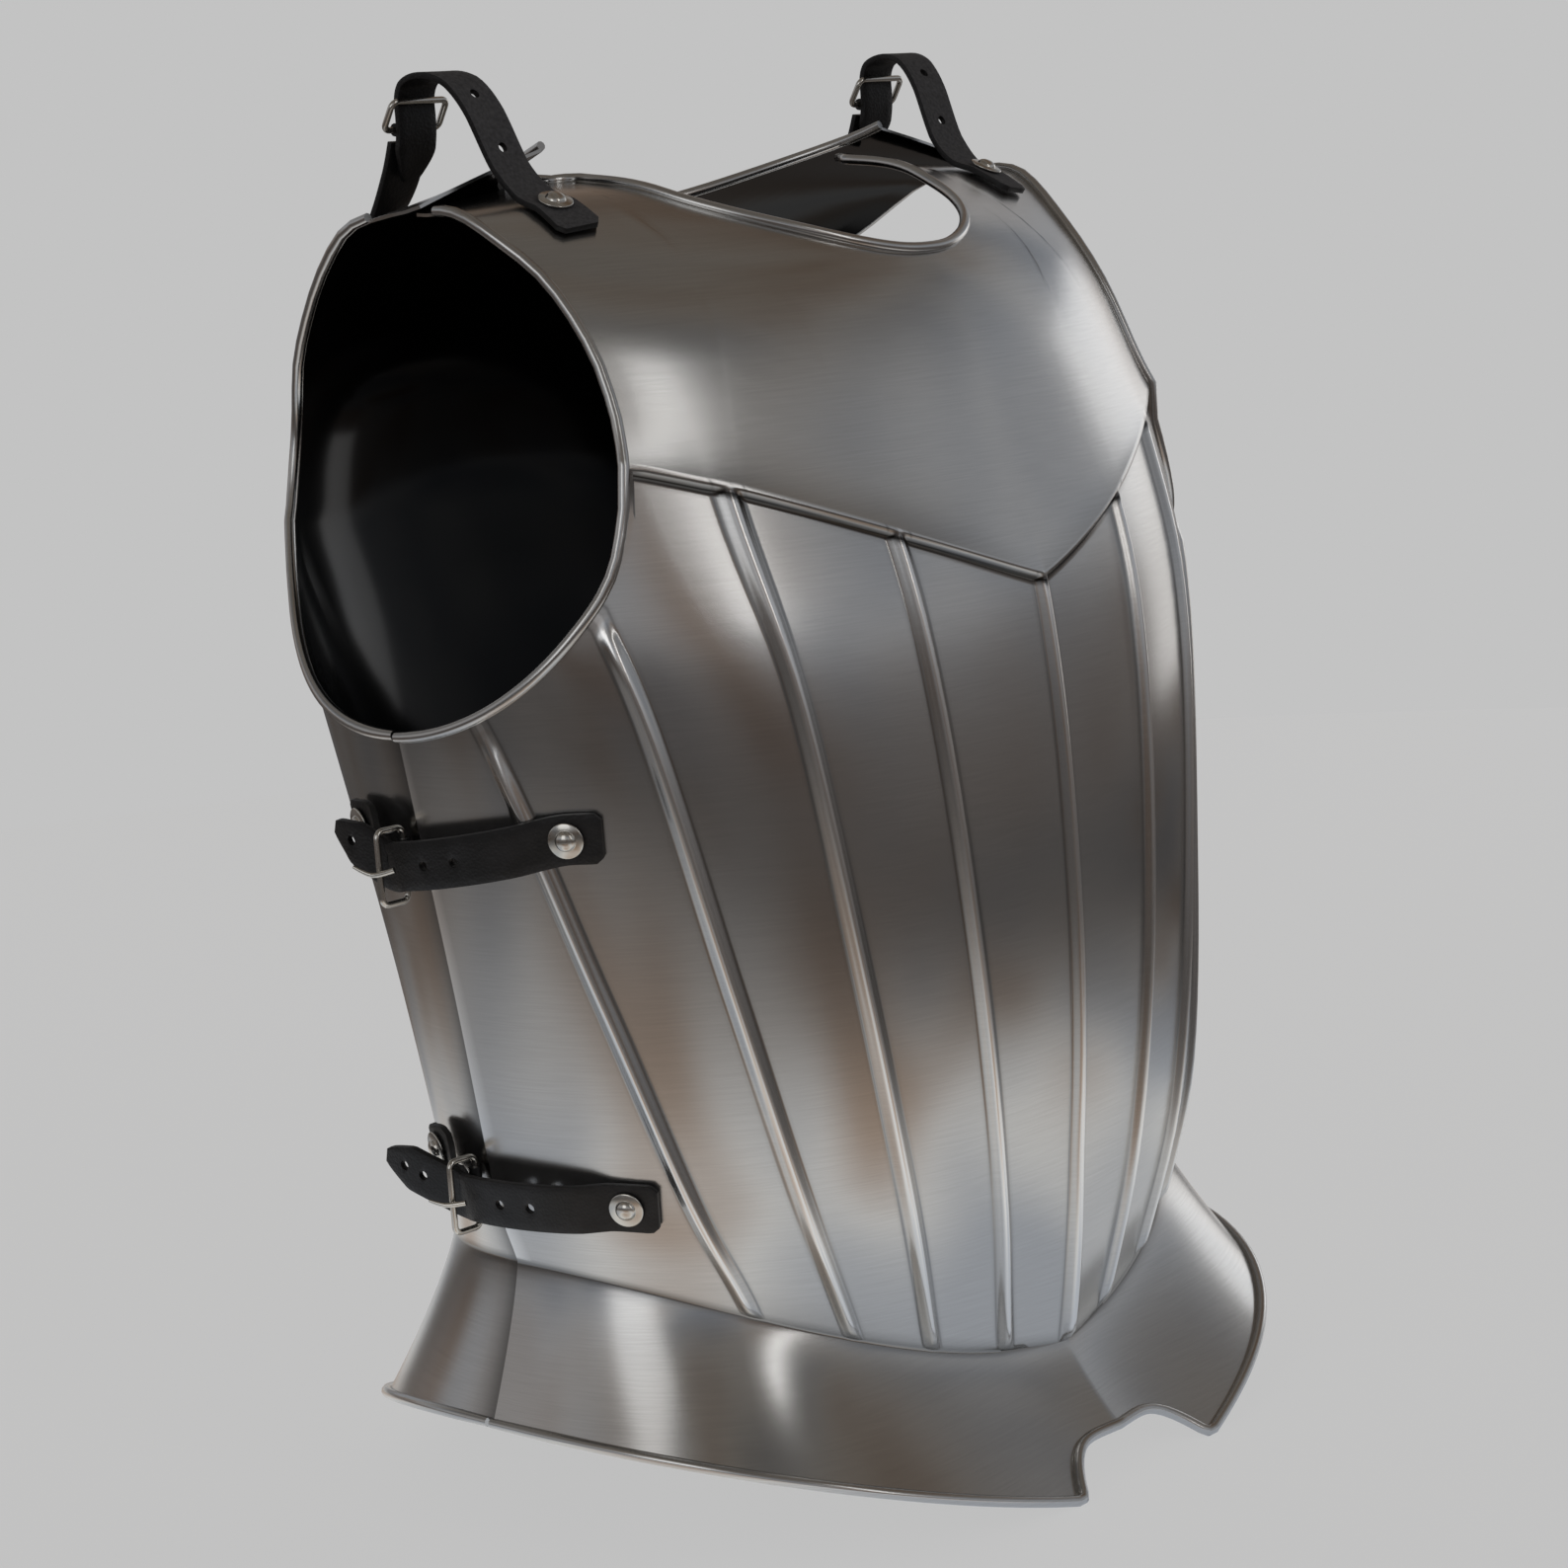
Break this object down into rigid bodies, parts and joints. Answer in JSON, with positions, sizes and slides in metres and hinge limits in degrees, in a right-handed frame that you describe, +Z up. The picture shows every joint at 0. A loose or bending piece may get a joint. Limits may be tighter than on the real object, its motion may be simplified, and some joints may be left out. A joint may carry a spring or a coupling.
{
  "type": "steel cuirass",
  "caption": "Fluted steel breastplate and plain backplate with flared skirts, joined by leather straps and buckles at the shoulders and sides; worn over the torso.",
  "frame": {"origin": "middle of the box on the ground under the cuirass", "axes": "+X to the wearer's left, -Y to the front of the breastplate, +Z up"},
  "size_m": [0.4156, 0.3189, 0.5341],
  "materials": {
    "steel_front": "polished, finely brushed, gloss black inside",
    "steel_back": "polished, finely brushed, gloss black inside",
    "strap_leather": "smooth, slightly worn",
    "buckle_metal": "bright nickel",
    "rivet_metal": "bright nickel"
  },
  "bodies": {
    "root": {"breastplate": "steel_front", "backplate": "steel_back", "left_side_upper_strap": "strap_leather", "right_side_upper_strap": "strap_leather", "left_side_upper_chape": "strap_leather", "right_side_upper_chape": "strap_leather", "left_side_upper_buckle_frame": "buckle_metal", "right_side_upper_buckle_frame": "buckle_metal", "left_side_upper_buckle_prong": "buckle_metal", "right_side_upper_buckle_prong": "buckle_metal", "left_side_upper_front_rivet": "rivet_metal", "right_side_upper_front_rivet": "rivet_metal", "left_side_upper_back_rivet": "rivet_metal", "right_side_upper_back_rivet": "rivet_metal", "left_side_lower_strap": "strap_leather", "right_side_lower_strap": "strap_leather", "left_side_lower_chape": "strap_leather", "right_side_lower_chape": "strap_leather", "left_side_lower_buckle_frame": "buckle_metal", "right_side_lower_buckle_frame": "buckle_metal", "left_side_lower_buckle_prong": "buckle_metal", "right_side_lower_buckle_prong": "buckle_metal", "left_side_lower_front_rivet": "rivet_metal", "right_side_lower_front_rivet": "rivet_metal", "left_side_lower_back_rivet": "rivet_metal", "right_side_lower_back_rivet": "rivet_metal", "left_shoulder_strap": "strap_leather", "right_shoulder_strap": "strap_leather", "left_shoulder_chape": "strap_leather", "right_shoulder_chape": "strap_leather", "left_shoulder_buckle_frame": "buckle_metal", "right_shoulder_buckle_frame": "buckle_metal", "left_shoulder_buckle_prong": "buckle_metal", "right_shoulder_buckle_prong": "buckle_metal", "left_shoulder_front_rivet": "rivet_metal", "right_shoulder_front_rivet": "rivet_metal", "left_shoulder_back_rivet": "rivet_metal", "right_shoulder_back_rivet": "rivet_metal"}
  },
  "joints": []
}
